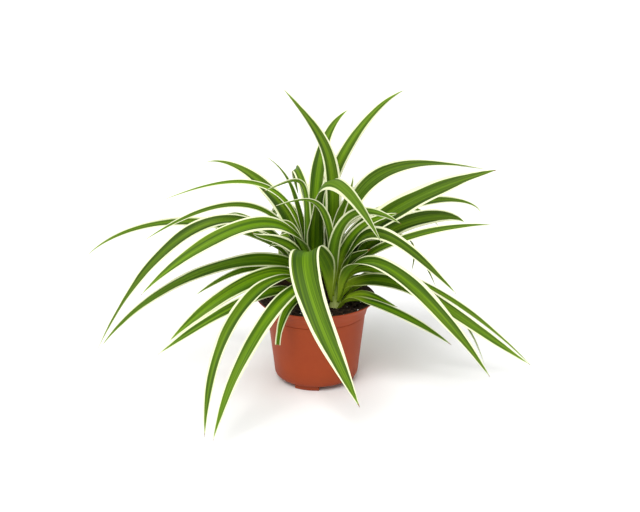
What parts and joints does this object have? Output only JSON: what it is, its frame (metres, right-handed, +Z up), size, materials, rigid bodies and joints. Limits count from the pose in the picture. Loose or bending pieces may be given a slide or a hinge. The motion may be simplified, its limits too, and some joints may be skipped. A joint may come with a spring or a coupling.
{
  "type": "potted spider plant",
  "caption": "Potted spider plant: tufts of long arching green leaves with cream margins, in a round moulded nursery pot full of dark soil.",
  "frame": {"origin": "centre of the pot on the surface it stands on, within a few millimetres of the bottom centre of the whole plant's bounding box", "axes": "+Z up along the pot's axis, +X along the plant's widest spread, -Y towards the side with the broad front leaf"},
  "size_m": [0.4719, 0.3691, 0.3163],
  "materials": {
    "pot_plastic": "matte",
    "potting_soil": "matte",
    "crown_flesh": "satin",
    "striped_leaf": "satin"
  },
  "bodies": {
    "root": {"crown_back_left": "crown_flesh", "crown_back_right": "crown_flesh", "crown_left": "crown_flesh", "crown_right": "crown_flesh", "leaf_back_left_01": "striped_leaf", "leaf_back_left_02": "striped_leaf", "leaf_back_left_03": "striped_leaf", "leaf_back_left_04": "striped_leaf", "leaf_back_left_05": "striped_leaf", "leaf_back_left_06": "striped_leaf", "leaf_back_left_07": "striped_leaf", "leaf_back_left_08": "striped_leaf", "leaf_back_left_09": "striped_leaf", "leaf_back_left_10": "striped_leaf", "leaf_back_left_11": "striped_leaf", "leaf_back_left_12": "striped_leaf", "leaf_back_left_13": "striped_leaf", "leaf_back_left_14": "striped_leaf", "leaf_back_left_15": "striped_leaf", "leaf_back_right_01": "striped_leaf", "leaf_back_right_02": "striped_leaf", "leaf_back_right_03": "striped_leaf", "leaf_back_right_04": "striped_leaf", "leaf_back_right_05": "striped_leaf", "leaf_back_right_06": "striped_leaf", "leaf_back_right_07": "striped_leaf", "leaf_back_right_08": "striped_leaf", "leaf_back_right_09": "striped_leaf", "leaf_back_right_10": "striped_leaf", "leaf_back_right_11": "striped_leaf", "leaf_back_right_12": "striped_leaf", "leaf_back_right_13": "striped_leaf", "leaf_left_01": "striped_leaf", "leaf_left_02": "striped_leaf", "leaf_left_03": "striped_leaf", "leaf_left_04": "striped_leaf", "leaf_left_05": "striped_leaf", "leaf_left_06": "striped_leaf", "leaf_left_07": "striped_leaf", "leaf_left_08": "striped_leaf", "leaf_left_09": "striped_leaf", "leaf_left_10": "striped_leaf", "leaf_left_11": "striped_leaf", "leaf_right_01": "striped_leaf", "leaf_right_02": "striped_leaf", "leaf_right_03": "striped_leaf", "leaf_right_04": "striped_leaf", "leaf_right_05": "striped_leaf", "leaf_right_06": "striped_leaf", "leaf_right_07": "striped_leaf", "leaf_right_08": "striped_leaf", "leaf_right_09": "striped_leaf", "leaf_right_10": "striped_leaf", "leaf_right_11": "striped_leaf", "leaf_right_12": "striped_leaf", "pot": "pot_plastic", "soil": "potting_soil"}
  },
  "joints": []
}
